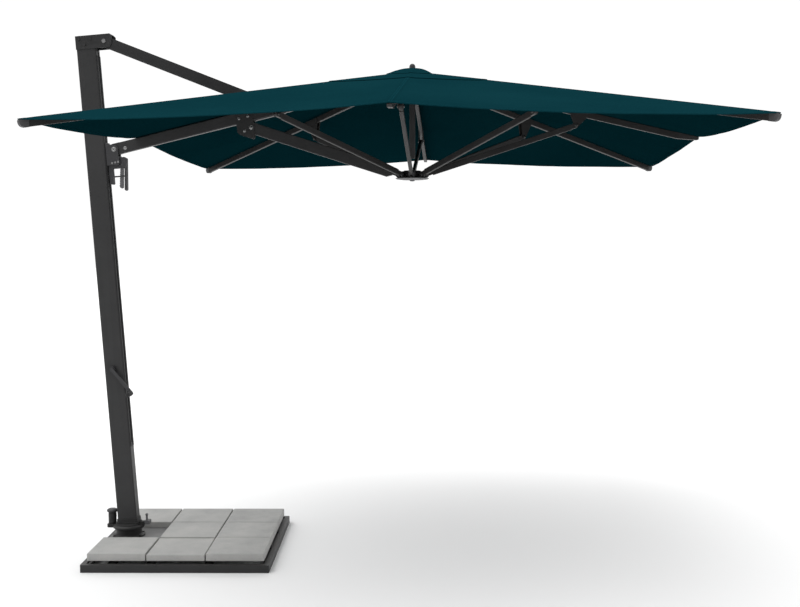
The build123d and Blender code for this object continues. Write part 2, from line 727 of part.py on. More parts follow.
for azimuth in azimuths:
    tag = compass[azimuth]
    root, tip = cloth_top[azimuth]
    with BuildPart() as petal:
        for turn in (45, -45):
            next_root, next_tip = cloth_top[(azimuth + turn) % 360]
            mid_root = (root + next_root) * 0.5
            flat_tip, corner_tip = (tip, next_tip) if azimuth % 90 == 0 else (next_tip, tip)
            mid_tip = flat_tip + (corner_tip - flat_tip) * tan(radians(22.5))
            panel = Plane(
                origin=root, x_dir=tip - root,
                z_dir=(tip - root).cross(mid_tip - root) * (1 if turn > 0 else -1))
            corners = [panel.to_local_coords(v) for v in (root, tip, mid_tip, mid_root)]
            shy = 0.8 if corners[2].Y > 0 else -0.8
            with BuildSketch(panel):
                Polygon(
                    (corners[0].X, 0), (corners[1].X, 0), (corners[2].X, corners[2].Y - shy),
                    (corners[3].X, corners[3].Y - shy), align=None)
            extrude(amount=-cloth_t)
        if azimuth == 180:
            with BuildSketch(Plane(origin=arm_plane.from_local_coords((882, 60, 0)), x_dir=arm_plane.x_dir,
                                   z_dir=arm_plane.y_dir)):
                SlotOverall(212, 74)
            extrude(amount=-120, mode=Mode.SUBTRACT)
    petal.part.label = f"canopy_{tag}"
    export_step(petal.part, f"parts/canopy_{tag}.step")

with BuildPart() as canopy_top:
    with BuildSketch(Plane.XZ):
        Polygon(
            (26.2, crown_z + 46), (60, crown_z + 44), (125, crown_z + 35), (125, crown_z + 33),
            (60, crown_z + 42), (26.2, crown_z + 44), align=None)
    revolve(axis=Axis.Z)
canopy_top.part = canopy_top.part.moved(Location((crown_x, 0, 0)))
canopy_top.part.label = "canopy_top"
export_step(canopy_top.part, "parts/canopy_top.step")
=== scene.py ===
import json
import math
import bpy
import bmesh
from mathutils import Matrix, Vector, noise


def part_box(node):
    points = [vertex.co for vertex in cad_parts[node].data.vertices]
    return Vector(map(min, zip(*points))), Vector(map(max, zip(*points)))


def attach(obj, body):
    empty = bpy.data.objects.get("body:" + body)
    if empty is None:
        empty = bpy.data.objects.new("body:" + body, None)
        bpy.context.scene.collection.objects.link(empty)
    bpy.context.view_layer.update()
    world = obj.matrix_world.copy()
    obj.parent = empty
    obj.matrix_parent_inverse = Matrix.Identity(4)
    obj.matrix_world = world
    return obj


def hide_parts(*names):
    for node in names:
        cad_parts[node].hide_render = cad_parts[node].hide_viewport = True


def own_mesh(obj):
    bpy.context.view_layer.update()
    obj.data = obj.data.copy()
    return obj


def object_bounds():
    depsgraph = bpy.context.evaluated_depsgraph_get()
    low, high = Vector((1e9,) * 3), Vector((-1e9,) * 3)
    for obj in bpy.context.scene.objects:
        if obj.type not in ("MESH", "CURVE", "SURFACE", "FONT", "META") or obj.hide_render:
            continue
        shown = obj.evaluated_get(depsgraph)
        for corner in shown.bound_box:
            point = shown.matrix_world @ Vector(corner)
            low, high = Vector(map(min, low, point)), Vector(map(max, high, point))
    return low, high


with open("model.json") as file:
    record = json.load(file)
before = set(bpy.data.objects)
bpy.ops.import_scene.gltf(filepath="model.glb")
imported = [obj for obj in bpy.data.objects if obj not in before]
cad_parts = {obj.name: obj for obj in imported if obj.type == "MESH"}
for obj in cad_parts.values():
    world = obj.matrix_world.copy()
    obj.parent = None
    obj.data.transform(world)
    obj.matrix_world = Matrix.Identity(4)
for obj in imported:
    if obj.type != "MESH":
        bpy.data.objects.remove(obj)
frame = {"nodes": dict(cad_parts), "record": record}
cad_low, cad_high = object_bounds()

# Cantilever parasol: procedural finishes on the CAD nodes, one continuous tensioned canopy cut
# into eight sectors that fold with the ribs, and the small hardware that the CAD leaves out.
# Metres, in the part's own frame. An azimuth of 0 points away from the mast.

joints = {j["name"]: j for j in frame["record"]["behaviour"]["joints"]}
AZIMUTH = {"e": 0, "ne": 45, "n": 90, "nw": 135, "w": 180, "sw": 225, "s": 270, "se": 315}
TAG = {a: t for t, a in AZIMUTH.items()}
HALF = 1.5
MID_DROOP = math.radians(13.3)
CORNER_DROOP = math.radians(10.8)
RIB_LIFT = 0.022
ARM_LIFT = 0.037
CLOTH_DROP = 0.0007
CLOTH_THICK = 0.0011
ROOT_RUN = 0.024
hinge = Vector(joints["rib_fold_e"]["pos_m"])
hinge_w = Vector(joints["crown_level"]["pos_m"])
crown = Vector(((hinge.x + hinge_w.x) / 2, 0.0, hinge.z))
hinge_r = hinge.x - crown.x
arm_foot = Vector(joints["arm_fold"]["pos_m"])
arm_way = (hinge_w - arm_foot).normalized()
arm_up = Vector((-arm_way.z, 0, arm_way.x))
mast_up = -Vector(joints["slider_travel"]["axis"])
mast_front = Vector((mast_up.z, 0, -mast_up.x))


def linked(name, data):
    """A new object with this mesh, light or camera, in the scene."""
    obj = bpy.data.objects.new(name, data)
    bpy.context.collection.objects.link(obj)
    return obj


# ---------------------------------------------------------------- materials
def new_material(name):
    m = bpy.data.materials.new(name)
    m.use_nodes = True
    return m, m.node_tree, m.node_tree.nodes["Principled BSDF"]


def vector_math(tree, op, a, b):
    n = tree.nodes.new("ShaderNodeVectorMath")
    n.operation = op
    tree.links.new(a, n.inputs[0])
    n.inputs[1].default_value = b
    return n.outputs["Value" if op == "DISTANCE" else "Vector"]


def coords(tree, source="Object"):
    return tree.nodes.new("ShaderNodeTexCoord").outputs[source]


def noise_tex(tree, vec, scale, detail=4.0, rough=0.55):
    n = tree.nodes.new("ShaderNodeTexNoise")
    n.inputs["Scale"].default_value = scale
    n.inputs["Detail"].default_value = detail
    n.inputs["Roughness"].default_value = rough
    tree.links.new(vec, n.inputs["Vector"])
    return n.outputs["Fac"]


def ramp(tree, fac, stops):
    r = tree.nodes.new("ShaderNodeValToRGB")
    r.color_ramp.elements[0].position = stops[0][0]
    r.color_ramp.elements[0].color = (*stops[0][1], 1)
    r.color_ramp.elements[1].position = stops[-1][0]
    r.color_ramp.elements[1].color = (*stops[-1][1], 1)
    for pos, colour in stops[1:-1]:
        e = r.color_ramp.elements.new(pos)
        e.color = (*colour, 1)
    tree.links.new(fac, r.inputs["Fac"])
    return r.outputs["Color"]


def mapped(tree, fac, low, high, a=0.0, b=1.0):
    """Map fac from a..b to low..high, clamped."""
    n = tree.nodes.new("ShaderNodeMapRange")
    n.inputs["From Min"].default_value = a
    n.inputs["From Max"].default_value = b
    n.inputs["To Min"].default_value = low
    n.inputs["To Max"].default_value = high
    tree.links.new(fac, n.inputs["Value"])
    return n.outputs["Result"]


def math_node(tree, op, a, b=None):
    n = tree.nodes.new("ShaderNodeMath")
    n.operation = op
    for i, v in enumerate((a, b)):
        if v is None:
            continue
        if isinstance(v, (int, float)):
            n.inputs[i].default_value = v
        else:
            tree.links.new(v, n.inputs[i])
    return n.outputs["Value"]


def mix_colour(tree, fac, a, b):
    n = tree.nodes.new("ShaderNodeMix")
    n.data_type = "RGBA"
    for socket, v in ((0, fac), (6, a), (7, b)):
        if isinstance(v, (int, float)):
            n.inputs[socket].default_value = v
        elif isinstance(v, tuple):
            n.inputs[socket].default_value = (*v, 1)
        else:
            tree.links.new(v, n.inputs[socket])
    return n.outputs[2]


def bump(tree, bsdf, height, distance, strength=1.0, after=None):
    n = tree.nodes.new("ShaderNodeBump")
    n.inputs["Strength"].default_value = strength
    n.inputs["Distance"].default_value = distance
    tree.links.new(height, n.inputs["Height"])
    if after is not None:
        tree.links.new(after, n.inputs["Normal"])
    tree.links.new(n.outputs["Normal"], bsdf.inputs["Normal"])
    return n.outputs["Normal"]


def edge_wear(tree):
    """Mask of the worn, outward edges."""
    g = tree.nodes.new("ShaderNodeNewGeometry")
    return mapped(tree, g.outputs["Pointiness"], 0.0, 1.0, 0.55, 0.75)


def powder_coat(name, dark, light, rough=0.42, dust=0.12, gloss=0.25):
    m, t, b = new_material(name)
    v = coords(t)
    cloud = noise_tex(t, v, 7.0, 5.0)
    base = ramp(t, cloud, [(0.3, dark), (0.7, light)])
    speck = noise_tex(t, v, 900.0, 2.0)
    base = mix_colour(t, mapped(t, speck, 0.0, 0.25, 0.55, 0.75), base, tuple(c * 1.9 for c in light))
    geo = t.nodes.new("ShaderNodeNewGeometry")
    sep = t.nodes.new("ShaderNodeSeparateXYZ")
    t.links.new(geo.outputs["Normal"], sep.inputs["Vector"])
    up = mapped(t, sep.outputs["Z"], 0.0, dust, 0.6, 1.0)
    base = mix_colour(t, math_node(t, "MULTIPLY", up, noise_tex(t, v, 30.0, 6.0)), base, (0.30, 0.29, 0.27))
    base = mix_colour(t, mapped(t, edge_wear(t), 0.0, 0.35), base, tuple(c * 3.0 for c in light))
    t.links.new(base, b.inputs["Base Color"])
    t.links.new(mapped(t, noise_tex(t, v, 60.0, 3.0), rough - 0.06, rough + 0.08), b.inputs["Roughness"])
    b.inputs["Specular IOR Level"].default_value = gloss
    peel = noise_tex(t, v, 1100.0, 2.0)
    wave = noise_tex(t, v, 210.0, 2.0)
    bump(t, b, math_node(t, "ADD", peel, math_node(t, "MULTIPLY", wave, 1.5)), 0.00012, 0.5)
    return m


def plastic(name, dark, light, rough=0.5, grain=2200.0):
    m, t, b = new_material(name)
    v = coords(t)
    base = ramp(t, noise_tex(t, v, 14.0, 4.0), [(0.3, dark), (0.7, light)])
    base = mix_colour(t, mapped(t, edge_wear(t), 0.0, 0.25), base, tuple(c * 2.2 for c in light))
    t.links.new(base, b.inputs["Base Color"])
    t.links.new(mapped(t, noise_tex(t, v, 120.0, 3.0), rough - 0.05, rough + 0.09), b.inputs["Roughness"])
    vor = t.nodes.new("ShaderNodeTexVoronoi")
    vor.inputs["Scale"].default_value = grain
    t.links.new(v, vor.inputs["Vector"])
    bump(t, b, vor.outputs["Distance"], 0.00008, 0.45)
    return m


def zinc(name, tone=1.0):
    m, t, b = new_material(name)
    v = coords(t)
    low, high = (0.20 * tone,) * 3, (0.42 * tone,) * 3
    base = ramp(t, noise_tex(t, v, 300.0, 4.0), [(0.3, low), (0.7, high)])
    t.links.new(base, b.inputs["Base Color"])
    b.inputs["Metallic"].default_value = 1.0
    t.links.new(mapped(t, noise_tex(t, v, 500.0, 3.0), 0.28, 0.45), b.inputs["Roughness"])
    bump(t, b, noise_tex(t, v, 1500.0, 2.0), 0.00005, 0.4)
    return m


def concrete(name):
    m, t, b = new_material(name)
    v = coords(t)
    cloud = noise_tex(t, v, 5.0, 6.0, 0.65)
    base = ramp(t, cloud, [(0.28, (0.33, 0.33, 0.325)), (0.5, (0.40, 0.40, 0.39)),
                           (0.72, (0.46, 0.455, 0.44))])
    sand = noise_tex(t, v, 420.0, 3.0, 0.7)
    base = mix_colour(t, mapped(t, sand, 0.0, 0.45, 0.52, 0.72), base, (0.24, 0.235, 0.23))
    flecks = noise_tex(t, v, 700.0, 2.0)
    base = mix_colour(t, mapped(t, flecks, 0.0, 0.4, 0.58, 0.75), base, (0.62, 0.61, 0.59))
    pores = t.nodes.new("ShaderNodeTexVoronoi")
    pores.inputs["Scale"].default_value = 130.0
    t.links.new(v, pores.inputs["Vector"])
    pore_depth_and_shade = mapped(t, pores.outputs["Distance"], 1.0, 0.0, 0.04, 0.16)
    # The pores are painted darker: painted shade in the small holes, which the same mask also sinks in the
    # bump.
    base = mix_colour(t, math_node(t, "MULTIPLY", pore_depth_and_shade, 0.6), base, (0.13, 0.128, 0.125))
    t.links.new(base, b.inputs["Base Color"])
    t.links.new(mapped(t, cloud, 0.82, 0.95), b.inputs["Roughness"])
    b.inputs["Specular IOR Level"].default_value = 0.25
    first = bump(t, b, math_node(t, "SUBTRACT", sand, math_node(t, "MULTIPLY", pore_depth_and_shade, 0.8)), 0.0007, 0.7)
    bump(t, b, noise_tex(t, v, 28.0, 5.0), 0.0015, 0.5, after=first)
    return m


YARN_PITCH = 0.0012
STITCH_PITCH = 0.0038
STITCH_FROM_MIDDLE = 0.005


def weave_height(t, uv):
    """Height of the weave, and the strip's own coordinates: X along it and Y across it."""
    sep = t.nodes.new("ShaderNodeSeparateXYZ")
    t.links.new(uv, sep.inputs["Vector"])
    k = math.pi / YARN_PITCH
    a = math_node(t, "ABSOLUTE", math_node(t, "SINE", math_node(t, "MULTIPLY", sep.outputs["X"], k)))
    c = math_node(t, "ABSOLUTE", math_node(t, "SINE", math_node(t, "MULTIPLY", sep.outputs["Y"], k)))
    return math_node(t, "MAXIMUM", a, c), sep


def cloth(name, dark, light, stitched=False):
    """Woven polyester without gloss. A stitched one has two rows of thread beside its middle line."""
    m, t, b = new_material(name)
    v = coords(t)
    weave, sep = weave_height(t, coords(t, "UV"))
    fade = noise_tex(t, v, 1.7, 4.0, 0.5)
    slub = noise_tex(t, v, 90.0, 3.0, 0.6)
    base = ramp(t, fade, [(0.3, dark), (0.7, light)])
    base = mix_colour(t, mapped(t, slub, 0.0, 0.30, 0.45, 0.75), base, tuple(c * 1.5 for c in light))
    # Darker in the low gaps between the yarns: painted shade in the weave's recesses.
    base = mix_colour(t, mapped(t, weave, 0.22, 0.0, 0.0, 0.6), base, tuple(c * 0.35 for c in dark))
    height = math_node(t, "ADD", weave, math_node(t, "MULTIPLY", slub, 0.6))
    if stitched:
        across = math_node(t, "ABSOLUTE", sep.outputs["Y"])
        near = math_node(t, "ABSOLUTE", math_node(t, "SUBTRACT", across, STITCH_FROM_MIDDLE))
        line = math_node(t, "LESS_THAN", near, 0.0007)
        count = math_node(t, "MULTIPLY", sep.outputs["X"], 1 / STITCH_PITCH)
        dash = math_node(t, "LESS_THAN", math_node(t, "FRACT", count), 0.72)
        thread = math_node(t, "MULTIPLY", line, dash)
        base = mix_colour(t, math_node(t, "MULTIPLY", thread, 0.8), base, tuple(c * 2.6 for c in light))
        height = math_node(t, "ADD", height, math_node(t, "MULTIPLY", thread, 2.0))
    t.links.new(base, b.inputs["Base Color"])
    b.inputs["Roughness"].default_value = 0.95
    b.inputs["Specular IOR Level"].default_value = 0.0
    first = bump(t, b, height, 0.00025, 0.6)
    bump(t, b, noise_tex(t, v, 9.0, 5.0, 0.6), 0.004, 0.35, after=first)
    return m


METAL = powder_coat("anthracite_metal", (0.019, 0.019, 0.0195), (0.027, 0.027, 0.0275), dust=0.08)
RIB_METAL = powder_coat("rib_metal", (0.020, 0.0195, 0.0195), (0.028, 0.0275, 0.0275), rough=0.40,
                        dust=0.03, gloss=0.10)
BASE_METAL = powder_coat("base_metal", (0.019, 0.019, 0.0195), (0.028, 0.028, 0.0285), rough=0.5, dust=0.16)
PLATE = powder_coat("steel_plate", (0.075, 0.076, 0.078), (0.105, 0.106, 0.108), rough=0.48, dust=0.30)
PLASTIC = plastic("dark_plastic", (0.018, 0.018, 0.020), (0.028, 0.028, 0.031))
CAP = plastic("cap_grey", (0.075, 0.075, 0.08), (0.10, 0.10, 0.105), rough=0.55)
RUBBER = plastic("grip_rubber", (0.012, 0.012, 0.013), (0.02, 0.02, 0.021), rough=0.72, grain=1200.0)
ZINC = zinc("zinc_bolt")
ZINC_DARK = zinc("black_zinc", 0.25)
STONE = concrete("concrete")
TEAL = cloth("canopy_cloth", (0.0026, 0.0265, 0.0345), (0.0039, 0.0340, 0.0430))
# The underside is painted much darker than the top cloth: painted shade, standing in for the shade under
# the canopy.
TEAL_UNDER_PAINTED_SHADE = cloth("canopy_underside_painted_shade", (0.0005, 0.0100, 0.0130), (0.0009, 0.0130, 0.0165))
TEAL_SEAM = cloth("canopy_seam", (0.0024, 0.0245, 0.0320), (0.0035, 0.0310, 0.0395), stitched=True)
# The seam tape's underside is painted darker in the same way: painted shade.
TEAL_SEAM_UNDER_PAINTED_SHADE = cloth("canopy_seam_underside_painted_shade", (0.0005, 0.0090, 0.0117), (0.0008, 0.0117, 0.0150),
                        stitched=True)


def end_cap(m, beyond):
    """Paint the rib's moulded end cap: whatever lies farther than beyond from the canopy's axis."""
    t = m.node_tree
    b = t.nodes["Principled BSDF"]
    plan = vector_math(t, "MULTIPLY", coords(t), (1, 1, 0))
    away = vector_math(t, "DISTANCE", plan, (crown.x, crown.y, 0))
    mask = mapped(t, away, 0.0, 1.0, beyond - 0.0005, beyond + 0.0005)
    old = b.inputs["Base Color"].links[0].from_socket
    t.links.new(mix_colour(t, mask, old, (0.060, 0.060, 0.062)), b.inputs["Base Color"])


CAP_LENGTH = 0.040
end_cap(RIB_METAL, HALF * math.sqrt(2) - CAP_LENGTH * math.cos(CORNER_DROOP))

FINISH = {
    "base_frame": BASE_METAL, "foot_plate": PLATE, "swivel_base": BASE_METAL, "swivel_disc": BASE_METAL,
    "lock_sleeve": BASE_METAL, "lock_pin": PLASTIC, "brake_lever": CAP, "mast_foot": BASE_METAL,
    "mast_tube": METAL, "top_bracket": METAL, "crank_arm": PLASTIC, "crank_grip": RUBBER,
    "slider_carriage": PLASTIC, "slider_foot": PLASTIC, "slider_handle": PLASTIC, "trigger": CAP,
    "arm_tube": METAL, "arm_nose": PLASTIC, "strut_clevis": METAL, "elbow_gusset": METAL,
    "strut_bar_near": METAL, "strut_bar_far": METAL, "strut_pin": ZINC, "crown": PLASTIC, "finial": PLASTIC,
    "crown_tube": METAL, "heavy_strut": METAL, "hub": PLASTIC, "hub_cap": CAP,
}
for name, obj in frame["nodes"].items():
    if name.startswith("paver_"):
        finish = STONE
    elif name.startswith(("rib_", "strut_")) and name not in FINISH:
        finish = RIB_METAL
    else:
        finish = FINISH.get(name, METAL)
    obj.data.materials.clear()
    obj.data.materials.append(finish)


# ---------------------------------------------------------------- cloth surface
def droop(a):
    return MID_DROOP if a % 90 == 0 else CORNER_DROOP


def tip_reach(a):
    """Level distance from the canopy's axis to the tip of the rib at azimuth a."""
    return HALF if a % 90 == 0 else HALF * math.sqrt(2)


def rib_line(a):
    """Root and tip of the cloth's ridge over the rib at azimuth a."""
    p, d = math.radians(a), droop(a)
    out = Vector((math.cos(p), math.sin(p), 0))
    run = out * math.cos(d) - Vector((0, 0, 1)) * math.sin(d)
    up = out * math.sin(d) + Vector((0, 0, 1)) * math.cos(d)
    start = crown + out * hinge_r
    reach = tip_reach(a) - hinge_r
    lift = (ARM_LIFT if a == 180 else RIB_LIFT) - CLOTH_DROP
    return start + run * ROOT_RUN + up * lift, start + run * (reach / math.cos(d)) + up * lift


LINES = {a: rib_line(a) for a in AZIMUTH.values()}
SPLIT = math.tan(math.radians(22.5))
ROOT_REACH = hinge_r + ROOT_RUN
VENT_HALF = 0.39
VENT_PROUD = 0.0024
HEM_START = 0.982
TAPE_HALF = 0.016
FULL_WIDTH = 9.0  # more than any sector's width, so the band runs from cut to cut
SLIT_CENTRE = 0.868
SLIT_LENGTH = 0.196
SLIT_WIDTH = 0.074


def half_width(a, t):
    """Where the cut between two sectors lies, as a share of the way to the next rib."""
    far = SPLIT if a % 90 == 0 else 1 - SPLIT
    return 0.5 + (far - 0.5) * t


HEM_SCALLOP = 0.011
CLOTH_SAG = 0.020
RIPPLE = 0.0022


def cloth_point(a, t, w, raise_by=0.0):
    """Point on the cloth: t runs from the crown to the hem (0 to 1), w to the next rib (-1 to 1)."""
    b = (a + (45 if w >= 0 else -45)) % 360
    w = abs(w)
    ra, ta = LINES[a]
    rb, tb = LINES[b]
    pull = 4 * w * (1 - w)
    t = t * (1 - HEM_SCALLOP * pull * t * t)
    p = (ra.lerp(ta, t)).lerp(rb.lerp(tb, t), w)
    p.z -= CLOTH_SAG * pull * max(t, 0.0) ** 1.3
    ripple = noise.noise(Vector((p.x * 3.1, p.y * 3.1, 4.0))) * RIPPLE
    ripple += noise.noise(Vector((p.x * 9.0, p.y * 9.0, 9.0))) * 0.0008
    p.z += (ripple - RIPPLE) * min(1.0, pull * 3.0) + raise_by
    return p


def normal_of(point, a, t, w, dt=0.004, dw=0.012):
    """Normal of the cloth at t and w, from its neighbours a small step away."""
    along = point(a, t + dt, w) - point(a, t - dt, w)
    across = point(a, t, w + dw) - point(a, t, w - dw)
    return along.cross(across).normalized()


def grid_mesh(name, rows, uvs, material, under, normals=None, thick=CLOTH_THICK):
    """A grid of points as a smooth sheet with a second face below it and a rim round both."""
    me = bpy.data.meshes.new(name)
    n, m = len(rows), len(rows[0])
    top = [p for row in rows for p in row]
    flat = [uv for row in uvs for uv in row]
    top_n = [v for row in normals for v in row] if normals else None
    ups = top_n or [Vector((0, 0, 1))] * len(top)
    if ups[0].z < 0:
        ups = [-u for u in ups]
    low = [p - u * thick for p, u in zip(top, ups)]
    faces = [(i * m + j, i * m + j + 1, (i + 1) * m + j + 1, (i + 1) * m + j)
             for i in range(n - 1) for j in range(m - 1)]
    slots = [0] * len(faces) + [1] * len(faces)
    faces += [tuple(len(top) + k for k in reversed(f)) for f in faces]
    ring = (list(range(m)) + [i * m + m - 1 for i in range(1, n)]
            + [(n - 1) * m + j for j in range(m - 2, -1, -1)] + [i * m for i in range(n - 2, 0, -1)])
    rim, q = 2 * len(top), len(ring)
    faces += [(rim + i, rim + (i + 1) % q, rim + q + (i + 1) % q, rim + q + i) for i in range(q)]
    slots += [0] * q
    verts = top + low + [top[k] for k in ring] + [low[k] for k in ring]
    vert_uv = flat * 2 + [flat[k] for k in ring] * 2
    me.from_pydata([tuple(v) for v in verts], [], faces)
    layer = me.uv_layers.new(name="UVMap")
    for poly, slot in zip(me.polygons, slots):
        poly.use_smooth = True
        poly.material_index = slot
        for li in poly.loop_indices:
            layer.data[li].uv = vert_uv[me.loops[li].vertex_index]
    me.materials.append(material)
    # The face below takes the darker underside material, which is painted shade.
    me.materials.append(under)
    if me.polygons[0].normal.z < -0.3:
        me.flip_normals()
    if top_n is not None:
        me.update()
        custom = [tuple(v.normal) for v in me.vertices]
        for k, v in enumerate(top_n):
            up = v if v.z > 0 else -v
            custom[k] = tuple(up)
            custom[len(top) + k] = tuple(-up)
        me.normals_split_custom_set_from_vertices(custom)
    return linked(name, me)


def fold(obj, a):
    """Carry a piece of cloth on its rib, or on the arm."""
    body, joint = ("arm", "arm_fold") if a == 180 else ("rib_" + TAG[a], "rib_fold_" + TAG[a])
    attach(obj, body)
    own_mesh(obj)


def ridge_measures(a):
    """Length of the ridge at azimuth a, and the level direction across it."""
    q = math.radians(a)
    return (LINES[a][1] - LINES[a][0]).length, Vector((-math.sin(q), math.cos(q), 0))


def sector(a, steps, lanes, name, point=cloth_point):
    """One rib's share of the sheet, from the cut on one side to the cut on the other."""
    rows, uvs, normals = [], [], []
    length, side_way = ridge_measures(a)
    for i in range(steps + 1):
        t = i / steps
        row, uv, nrm = [], [], []
        for j in range(-lanes, lanes + 1):
            w = half_width(a, t) * j / lanes
            p = point(a, t, w)
            row.append(p)
            uv.append((t * length, (p - crown).dot(side_way)))
            nrm.append(normal_of(point, a, t, w))
        rows.append(row)
        uvs.append(uv)
        normals.append(nrm)
    return grid_mesh(name, rows, uvs, TEAL, TEAL_UNDER_PAINTED_SHADE, normals)


def rib_gap(a, t):
    """Distance from the ridge at azimuth a to the next one, at t."""
    one, two = LINES[a], LINES[(a + 45) % 360]
    return (one[0].lerp(one[1], t) - two[0].lerp(two[1], t)).length


def wrap_band(a, t0, t1, reach_across, steps, lanes, name, point=cloth_point, along_t=True, proud=0.0012):
    """A sewn tape that wraps the sheet from t0 to t1, as far as reach_across each side of the ridge."""
    rows, uvs, normals = [], [], []
    length, side_way = ridge_measures(a)
    for i in range(steps + 1):
        t = t0 + (t1 - t0) * i / steps
        span = min(half_width(a, t), reach_across / rib_gap(a, t))
        row, uv, nrm = [], [], []
        for j in range(lanes + 1):
            w = span * (2 * j / lanes - 1)
            n = normal_of(point, a, t, w)
            n = n if n.z > 0 else -n
            edge = 0.4 if j in (0, lanes) or i in (0, steps) else 1.0
            p = point(a, t, w) + n * proud * edge
            row.append(p)
            across = (p - crown).dot(side_way)
            uv.append((t * length, across) if along_t else (across, (t - (t0 + t1) / 2) * length))
            nrm.append(n)
        rows.append(row)
        uvs.append(uv)
        normals.append(nrm)
    return grid_mesh(name, rows, uvs, TEAL_SEAM, TEAL_SEAM_UNDER_PAINTED_SHADE, normals, thick=CLOTH_THICK + 2 * proud)


def tube_mesh(name, rings, material, cap_ends=True):
    """Closed skin through rings of equally many points."""
    me = bpy.data.meshes.new(name)
    n = len(rings[0])
    verts = [tuple(p) for ring in rings for p in ring]
    faces = [(k * n + i, k * n + (i + 1) % n, (k + 1) * n + (i + 1) % n, (k + 1) * n + i)
             for k in range(len(rings) - 1) for i in range(n)]
    if cap_ends:
        faces += [tuple(reversed(range(n))), tuple((len(rings) - 1) * n + i for i in range(n))]
    me.from_pydata(verts, [], faces)
    bm = bmesh.new()
    bm.from_mesh(me)
    bmesh.ops.recalc_face_normals(bm, faces=bm.faces)
    bm.to_mesh(me)
    bm.free()
    for f in me.polygons:
        f.use_smooth = len(f.vertices) == 4
    layer = me.uv_layers.new(name="UVMap")
    for poly in me.polygons:
        for li in poly.loop_indices:
            v = me.loops[li].vertex_index
            layer.data[li].uv = (0.01 * (v // n), 0.004 * (v % n))
    me.materials.append(material)
    return linked(name, me)


def rounded_ring(centre, side, up, half_w, half_h, radius, per_corner):
    """Points round a rectangle with rounded corners."""
    ring = []
    for quarter, (sx, sy) in enumerate(((1, 1), (-1, 1), (-1, -1), (1, -1))):
        for k in range(per_corner):
            ang = math.pi / 2 * (quarter + k / (per_corner - 1))
            x = sx * (half_w - radius) + radius * math.cos(ang)
            y = sy * (half_h - radius) + radius * math.sin(ang)
            ring.append(centre + side * x + up * y)
    return ring


def vent_point(a, t, w):
    """The small upper tier over the crown: it lies on the main cloth and is cut to a small square."""
    shares = []
    for az in (a, a + (45 if w >= 0 else -45)):
        big = tip_reach(az)
        shares.append((VENT_HALF / HALF * big - ROOT_REACH) / (big - ROOT_REACH))
    part = shares[0] + (shares[1] - shares[0]) * abs(w)
    return cloth_point(a, t * part, w, raise_by=VENT_PROUD + 0.0010 * t)


def slit_distance(p):
    """Signed distance, in the arm's side of the cloth, to the slit that the upper strut passes."""
    along = (p - arm_foot).dot(arm_way) - SLIT_CENTRE
    reach = max(abs(along) - (SLIT_LENGTH - SLIT_WIDTH) / 2, 0.0)
    return math.hypot(reach, p.y) - SLIT_WIDTH / 2


def cut_slit(obj):
    """Open the slit in the sheet: edge points move onto its outline, and what is inside goes."""
    me = obj.data
    reach, e = 0.0065, 1e-4
    for v in me.vertices:
        d = slit_distance(v.co)
        if abs(d) < reach:
            gx = (slit_distance(v.co + arm_way * e) - d) / e
            gy = (slit_distance(v.co + Vector((0, e, 0))) - d) / e
            v.co = v.co - (arm_way * gx + Vector((0, gy, 0))) * d
    bm = bmesh.new()
    bm.from_mesh(me)
    gone = [f for f in bm.faces if slit_distance(f.calc_center_median()) < -0.0006]
    bmesh.ops.delete(bm, geom=gone, context="FACES")
    bm.to_mesh(me)
    bm.free()


def slit_binding(name):
    """Folded binding round the slit."""
    rings = []
    count = 64
    half = (SLIT_LENGTH - SLIT_WIDTH) / 2
    turn = math.pi * SLIT_WIDTH / 2
    total = 4 * half + 2 * turn
    for k in range(count):
        s = total * k / count
        if s < 2 * half:
            c, out = Vector((-half + s, -SLIT_WIDTH / 2)), Vector((0, -1))
        elif s < 2 * half + turn:
            ang = -math.pi / 2 + (s - 2 * half) / turn * math.pi
            out = Vector((math.cos(ang), math.sin(ang)))
            c = Vector((half, 0)) + out * SLIT_WIDTH / 2
        elif s < 4 * half + turn:
            c, out = Vector((half - (s - 2 * half - turn), SLIT_WIDTH / 2)), Vector((0, 1))
        else:
            ang = math.pi / 2 + (s - 4 * half - turn) / turn * math.pi
            out = Vector((math.cos(ang), math.sin(ang)))
            c = Vector((-half, 0)) + out * SLIT_WIDTH / 2
        base = arm_foot + arm_way * (SLIT_CENTRE + c.x) + Vector((0, c.y, 0))
        base.z = slit_height(base)
        side = (arm_way * out.x + Vector((0, out.y, 0))).normalized()
        rings.append(rounded_ring(base + side * 0.005, side, arm_up, 0.0065, 0.0021, 0.0018, 4))
    rings.append(rings[0])
    return tube_mesh(name, rings, TEAL_SEAM, cap_ends=False)


def slit_height(p):
    """Height of the cloth over the arm at plan position p."""
    root, tip = LINES[180]
    t = (root.x - p.x) / (root.x - tip.x)
    w = abs(p.y) / (ROOT_REACH + (HALF - ROOT_REACH) * t)
    return cloth_point(180, t, w if p.y <= 0 else -w).z


for a in AZIMUTH.values():
    tag = TAG[a]
    arm_side = a == 180
    main = sector(a, 120 if arm_side else 72, 46 if arm_side else 18, "cloth_" + tag)
    if arm_side:
        cut_slit(main)
    vent = sector(a, 16, 10, "vent_" + tag, point=vent_point)
    hem = wrap_band(a, HEM_START, 1.0006, FULL_WIDTH, 4, 60, "hem_" + tag, along_t=False)
    vent_hem = wrap_band(a, 0.93, 1.002, FULL_WIDTH, 3, 24, "vent_hem_" + tag, point=vent_point,
                         along_t=False, proud=0.0006)
    extras = [hem]
    if arm_side:
        extras.append(slit_binding("slit_binding"))
    else:
        extras.append(wrap_band(a, 0.06, HEM_START, TAPE_HALF, 60, 6, "seam_" + tag, proud=0.0008))
    for piece in (main, vent, vent_hem, *extras):
        fold(piece, a)
    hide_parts("canopy_" + tag)
    for piece, more, span in ((main, extras, 2 * HALF * SPLIT), (vent, [vent_hem], 2 * VENT_HALF * SPLIT)):
        far = LINES[a][1] if piece is main else vent_point(a, 1.0, 0.0)


